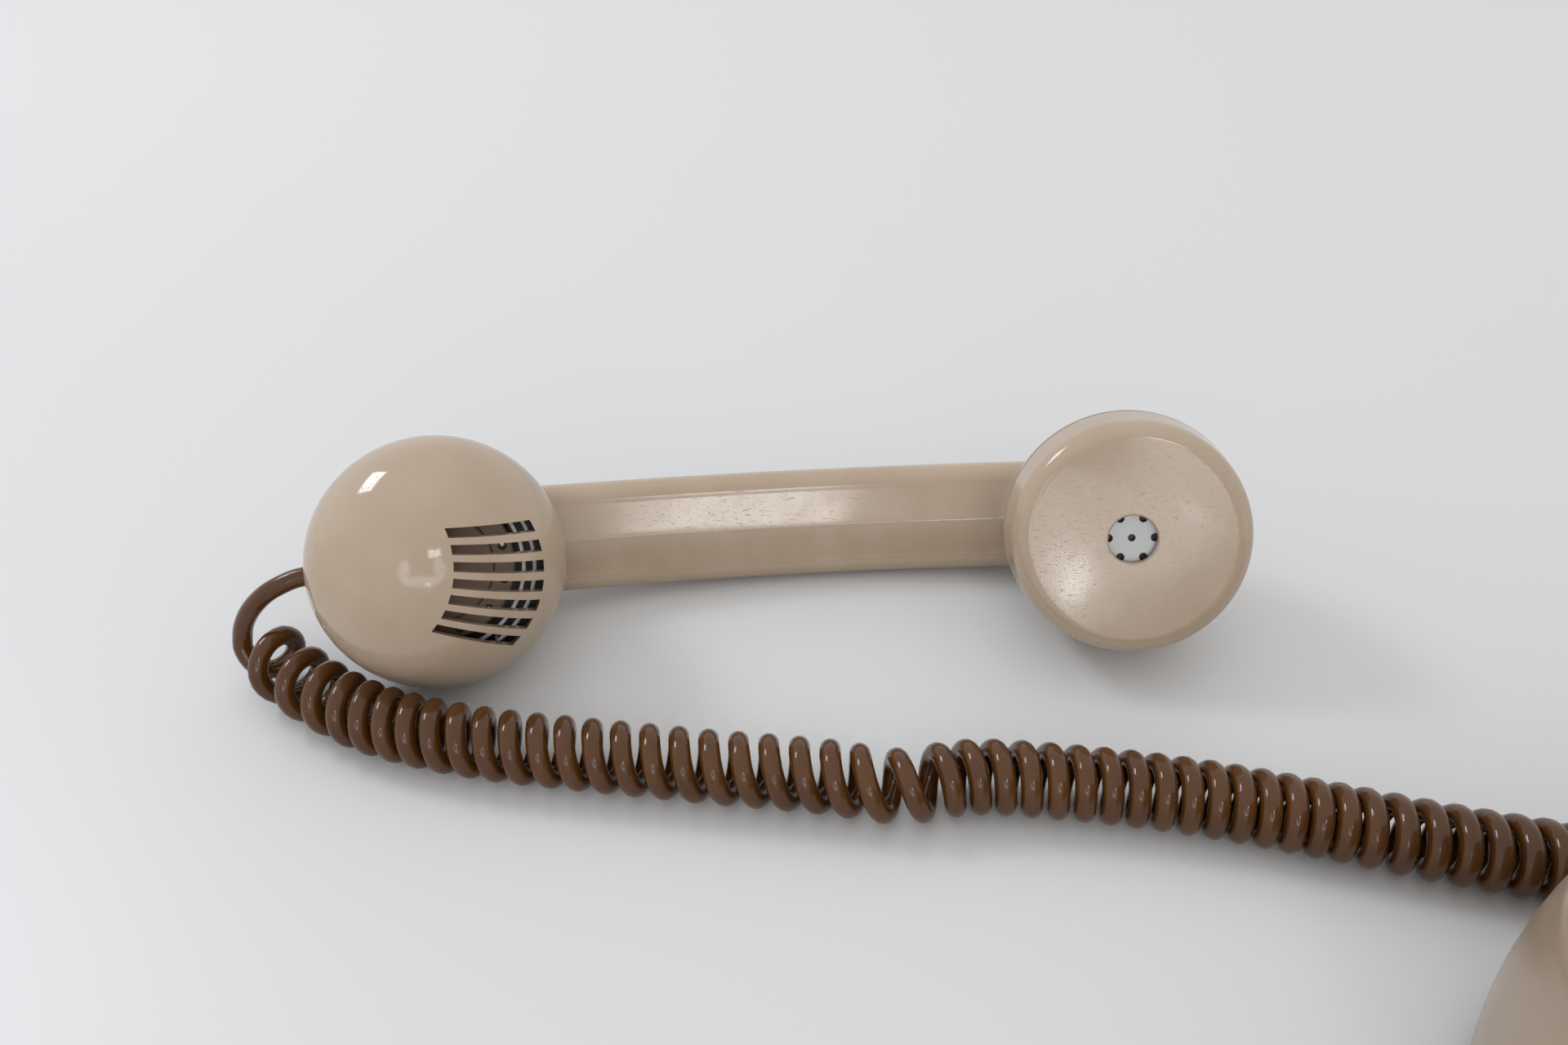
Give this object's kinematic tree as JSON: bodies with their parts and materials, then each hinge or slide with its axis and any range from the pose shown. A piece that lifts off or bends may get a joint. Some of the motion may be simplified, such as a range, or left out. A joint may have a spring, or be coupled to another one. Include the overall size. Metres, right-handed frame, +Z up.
{
  "type": "rotary dial telephone",
  "caption": "Beige cradle telephone with a rotary dial, its handset lying beside it on a brown curly cord.",
  "frame": {"origin": "on the table, in the middle of the footprint of base and handset", "axes": "+Z up; the dial faces -Y; the handset lies behind the base to the left, its length close to +X from mouthpiece to ear cap"},
  "size_m": [0.4382, 0.3377, 0.149],
  "materials": {
    "beige": "aged glossy beige moulding",
    "brown": "glossy brown plastic",
    "cord": "glossy brown sheath",
    "ivory": "satin ivory plastic",
    "dark": "dark grey-brown moulding",
    "steel": "bright steel",
    "disc": "brushed light-grey metal",
    "brass": "satin brass",
    "copper": "copper-coloured metal",
    "rubber": "matt black rubber",
    "board": "green circuit board"
  },
  "bodies": {
    "base": {"base_housing": "beige", "base_plate": "dark", "rubber_feet": "rubber", "base_screws": "steel", "cradle": "beige", "cradle_screws": "steel", "hook_spring": "steel", "hook_frame": "steel", "switch_contacts": "brass", "dial_case": "beige", "number_plate": "ivory", "finger_stop": "steel", "dial_spring": "steel", "pulse_contacts": "brass", "gong_left": "brass", "gong_right": "brass", "gong_posts": "steel", "ringer_coil": "copper", "ringer_yoke": "steel", "circuit_board": "board", "board_posts": "ivory", "transformer": "steel", "capacitor": "brown", "terminal_block": "ivory", "line_inlet": "brown", "base_cord_gland": "brown", "cord_coil": "cord", "cord_tail_base": "cord"},
    "handset": {"handset_body": "beige", "mouth_dome": "beige", "mic_carrier": "dark", "mic_capsule": "dark", "mic_contacts": "steel", "mic_clip": "steel", "ear_disc": "disc", "receiver_gasket": "rubber", "receiver_capsule": "dark", "wire_loom": "dark", "cord_clamp": "steel", "cord_tail_handset": "cord"},
    "ear_piece": {"ear_cap": "beige"},
    "dial": {"finger_wheel": "brown", "dial_cap": "brown", "dial_shaft": "steel", "dial_gear": "brass"},
    "pinion": {"dial_pinion": "brass", "governor": "steel"},
    "hook": {"hook_plungers": "dark", "hook_yoke": "steel"},
    "bell_clapper": {"clapper": "steel"},
    "volume": {"volume_wheel": "dark"}
  },
  "joints": [
    {"name": "handset_lift", "type": "slide", "parent": "base", "child": "handset", "axis": [0, 0, 1], "range_m": [0, 0.12]},
    {"name": "ear_cap_turn", "type": "hinge", "parent": "handset", "child": "ear_piece", "pos_m": [-0.00761, 0.12816, 0.03026], "axis": [-0.1236, -0.8746, 0.4689], "continuous": true},
    {"name": "dial_turn", "type": "hinge", "parent": "base", "child": "dial", "pos_m": [0.1129, -0.1408, 0.083], "axis": [0, 0.788, -0.6157], "range_deg": [0, 323], "stiffness_Nm_per_rad": 0.004, "springref_deg": -34.38},
    {"name": "pinion_spin", "type": "hinge", "parent": "base", "child": "pinion", "pos_m": [0.1381, -0.12504, 0.07069], "axis": [0, 0.788, -0.6157], "range_deg": [-1600, 60]},
    {"name": "hook_plunge", "type": "slide", "parent": "base", "child": "hook", "axis": [0, 0, 1], "range_m": [-0.006, 0], "stiffness_N_per_m": 200, "springref_m": 0.003, "deforming": ["hook_spring"]},
    {"name": "clapper_swing", "type": "hinge", "parent": "base", "child": "bell_clapper", "pos_m": [0.1129, -0.0128, 0.019], "axis": [0, 0, 1], "range_deg": [-5, 5]},
    {"name": "volume_turn", "type": "hinge", "parent": "base", "child": "volume", "pos_m": [0.19317, -0.0688, 0.017], "axis": [0, 0, 1], "range_deg": [0, 270]}
  ],
  "couplings": [
    {"joint": "pinion_spin", "follows": "dial_turn", "ratio": -4}
  ]
}
